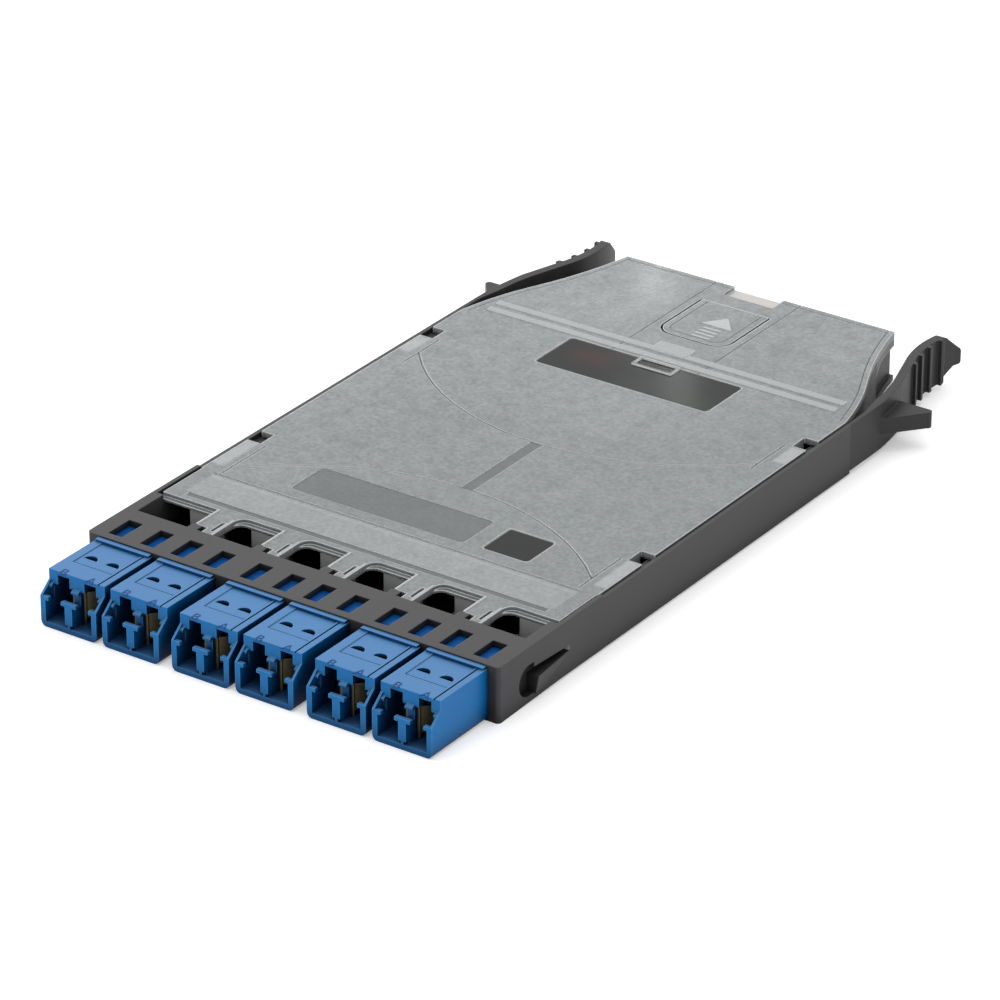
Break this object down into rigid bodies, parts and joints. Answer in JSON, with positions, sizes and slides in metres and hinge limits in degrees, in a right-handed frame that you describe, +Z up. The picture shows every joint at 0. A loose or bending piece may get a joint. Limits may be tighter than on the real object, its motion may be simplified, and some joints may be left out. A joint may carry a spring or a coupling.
{
  "type": "fibre cassette",
  "caption": "Flat fibre cassette with a row of shuttered duplex ports in front, a sliding cover, side release arms and a multi-fibre port at the rear.",
  "frame": {"origin": "under the middle of the cassette, at the height of its lowest point", "axes": "+X to the right seen from the ports, +Y from the ports to the rear port, +Z up"},
  "size_m": [0.1044, 0.183, 0.0113],
  "materials": {
    "base_plastic": "dark grey moulded plastic, fine satin grain",
    "cover_plastic": "light grey translucent plastic, satin, with polished windows",
    "adapter_plastic": "blue moulded plastic, light gloss",
    "leaf_steel": "thin spring steel",
    "sleeve_ceramic": "polished zirconia",
    "plug_plastic": "dark moulded plastic",
    "rear_adapter_plastic": "black moulded plastic",
    "block_plastic": "black moulded plastic",
    "trunk_jacket": "smooth cable jacket",
    "fibre_blue": "coloured buffer of one fibre",
    "fibre_orange": "coloured buffer of one fibre",
    "fibre_green": "coloured buffer of one fibre",
    "fibre_brown": "coloured buffer of one fibre",
    "fibre_slate": "coloured buffer of one fibre",
    "fibre_white": "coloured buffer of one fibre",
    "fibre_red": "coloured buffer of one fibre",
    "fibre_black": "coloured buffer of one fibre",
    "fibre_yellow": "coloured buffer of one fibre",
    "fibre_violet": "coloured buffer of one fibre",
    "fibre_rose": "coloured buffer of one fibre",
    "fibre_aqua": "coloured buffer of one fibre"
  },
  "bodies": {
    "housing": {"base_tray": "base_plastic", "rear_adapter": "rear_adapter_plastic", "rear_plug": "plug_plastic", "trunk_cable": "trunk_jacket", "fan_out_block": "block_plastic", "adapter_1": "adapter_plastic", "duplex_plug_1": "plug_plastic", "adapter_2": "adapter_plastic", "duplex_plug_2": "plug_plastic", "adapter_3": "adapter_plastic", "duplex_plug_3": "plug_plastic", "adapter_4": "adapter_plastic", "duplex_plug_4": "plug_plastic", "adapter_5": "adapter_plastic", "duplex_plug_5": "plug_plastic", "adapter_6": "adapter_plastic", "duplex_plug_6": "plug_plastic", "sleeve_1": "sleeve_ceramic", "fibre_leg_1": "fibre_blue", "sleeve_2": "sleeve_ceramic", "fibre_leg_2": "fibre_orange", "sleeve_3": "sleeve_ceramic", "fibre_leg_3": "fibre_green", "sleeve_4": "sleeve_ceramic", "fibre_leg_4": "fibre_brown", "sleeve_5": "sleeve_ceramic", "fibre_leg_5": "fibre_slate", "sleeve_6": "sleeve_ceramic", "fibre_leg_6": "fibre_white", "sleeve_7": "sleeve_ceramic", "fibre_leg_7": "fibre_red", "sleeve_8": "sleeve_ceramic", "fibre_leg_8": "fibre_black", "sleeve_9": "sleeve_ceramic", "fibre_leg_9": "fibre_yellow", "sleeve_10": "sleeve_ceramic", "fibre_leg_10": "fibre_violet", "sleeve_11": "sleeve_ceramic", "fibre_leg_11": "fibre_rose", "sleeve_12": "sleeve_ceramic", "fibre_leg_12": "fibre_aqua"},
    "cover": {"cover": "cover_plastic"},
    "latch_tab": {"cover_latch_tab": "cover_plastic"},
    "arm_right": {"release_arm_right": "base_plastic"},
    "arm_left": {"release_arm_left": "base_plastic"},
    "shutter_leaf_1": {"shutter_1": "leaf_steel"},
    "shutter_leaf_2": {"shutter_2": "leaf_steel"},
    "shutter_leaf_3": {"shutter_3": "leaf_steel"},
    "shutter_leaf_4": {"shutter_4": "leaf_steel"},
    "shutter_leaf_5": {"shutter_5": "leaf_steel"},
    "shutter_leaf_6": {"shutter_6": "leaf_steel"},
    "shutter_leaf_7": {"shutter_7": "leaf_steel"},
    "shutter_leaf_8": {"shutter_8": "leaf_steel"},
    "shutter_leaf_9": {"shutter_9": "leaf_steel"},
    "shutter_leaf_10": {"shutter_10": "leaf_steel"},
    "shutter_leaf_11": {"shutter_11": "leaf_steel"},
    "shutter_leaf_12": {"shutter_12": "leaf_steel"}
  },
  "joints": [
    {"name": "cover_slide", "type": "slide", "parent": "housing", "child": "cover", "axis": [0, 1, 0], "range_m": [0, 0.0044]},
    {"name": "latch_lift", "type": "hinge", "parent": "cover", "child": "latch_tab", "pos_m": [0, 0.07443, 0.01105], "axis": [-1, 0, 0], "range_deg": [0, 10], "stiffness_Nm_per_rad": 0.1},
    {"name": "arm_right_squeeze", "type": "hinge", "parent": "housing", "child": "arm_right", "pos_m": [0.04498, 0.04322, 0.005], "axis": [0, 0, 1], "range_deg": [0, 4], "stiffness_Nm_per_rad": 3},
    {"name": "arm_left_squeeze", "type": "hinge", "parent": "housing", "child": "arm_left", "pos_m": [-0.04498, 0.04322, 0.005], "axis": [0, 0, -1], "range_deg": [0, 4], "stiffness_Nm_per_rad": 3},
    {"name": "shutter_1_swing", "type": "hinge", "parent": "housing", "child": "shutter_leaf_1", "pos_m": [-0.03823, -0.08797, 0.0044], "axis": [0, 0, -1], "range_deg": [0, 45], "stiffness_Nm_per_rad": 0.0002},
    {"name": "shutter_2_swing", "type": "hinge", "parent": "housing", "child": "shutter_leaf_2", "pos_m": [-0.03583, -0.08797, 0.0044], "axis": [0, 0, 1], "range_deg": [0, 45], "stiffness_Nm_per_rad": 0.0002},
    {"name": "shutter_3_swing", "type": "hinge", "parent": "housing", "child": "shutter_leaf_3", "pos_m": [-0.02405, -0.08797, 0.0044], "axis": [0, 0, -1], "range_deg": [0, 45], "stiffness_Nm_per_rad": 0.0002},
    {"name": "shutter_4_swing", "type": "hinge", "parent": "housing", "child": "shutter_leaf_4", "pos_m": [-0.02165, -0.08797, 0.0044], "axis": [0, 0, 1], "range_deg": [0, 45], "stiffness_Nm_per_rad": 0.0002},
    {"name": "shutter_5_swing", "type": "hinge", "parent": "housing", "child": "shutter_leaf_5", "pos_m": [-0.0083, -0.08797, 0.0044], "axis": [0, 0, -1], "range_deg": [0, 45], "stiffness_Nm_per_rad": 0.0002},
    {"name": "shutter_6_swing", "type": "hinge", "parent": "housing", "child": "shutter_leaf_6", "pos_m": [-0.0059, -0.08797, 0.0044], "axis": [0, 0, 1], "range_deg": [0, 45], "stiffness_Nm_per_rad": 0.0002},
    {"name": "shutter_7_swing", "type": "hinge", "parent": "housing", "child": "shutter_leaf_7", "pos_m": [0.0059, -0.08797, 0.0044], "axis": [0, 0, -1], "range_deg": [0, 45], "stiffness_Nm_per_rad": 0.0002},
    {"name": "shutter_8_swing", "type": "hinge", "parent": "housing", "child": "shutter_leaf_8", "pos_m": [0.0083, -0.08797, 0.0044], "axis": [0, 0, 1], "range_deg": [0, 45], "stiffness_Nm_per_rad": 0.0002},
    {"name": "shutter_9_swing", "type": "hinge", "parent": "housing", "child": "shutter_leaf_9", "pos_m": [0.02165, -0.08797, 0.0044], "axis": [0, 0, -1], "range_deg": [0, 45], "stiffness_Nm_per_rad": 0.0002},
    {"name": "shutter_10_swing", "type": "hinge", "parent": "housing", "child": "shutter_leaf_10", "pos_m": [0.02405, -0.08797, 0.0044], "axis": [0, 0, 1], "range_deg": [0, 45], "stiffness_Nm_per_rad": 0.0002},
    {"name": "shutter_11_swing", "type": "hinge", "parent": "housing", "child": "shutter_leaf_11", "pos_m": [0.03583, -0.08797, 0.0044], "axis": [0, 0, -1], "range_deg": [0, 45], "stiffness_Nm_per_rad": 0.0002},
    {"name": "shutter_12_swing", "type": "hinge", "parent": "housing", "child": "shutter_leaf_12", "pos_m": [0.03823, -0.08797, 0.0044], "axis": [0, 0, 1], "range_deg": [0, 45], "stiffness_Nm_per_rad": 0.0002}
  ]
}
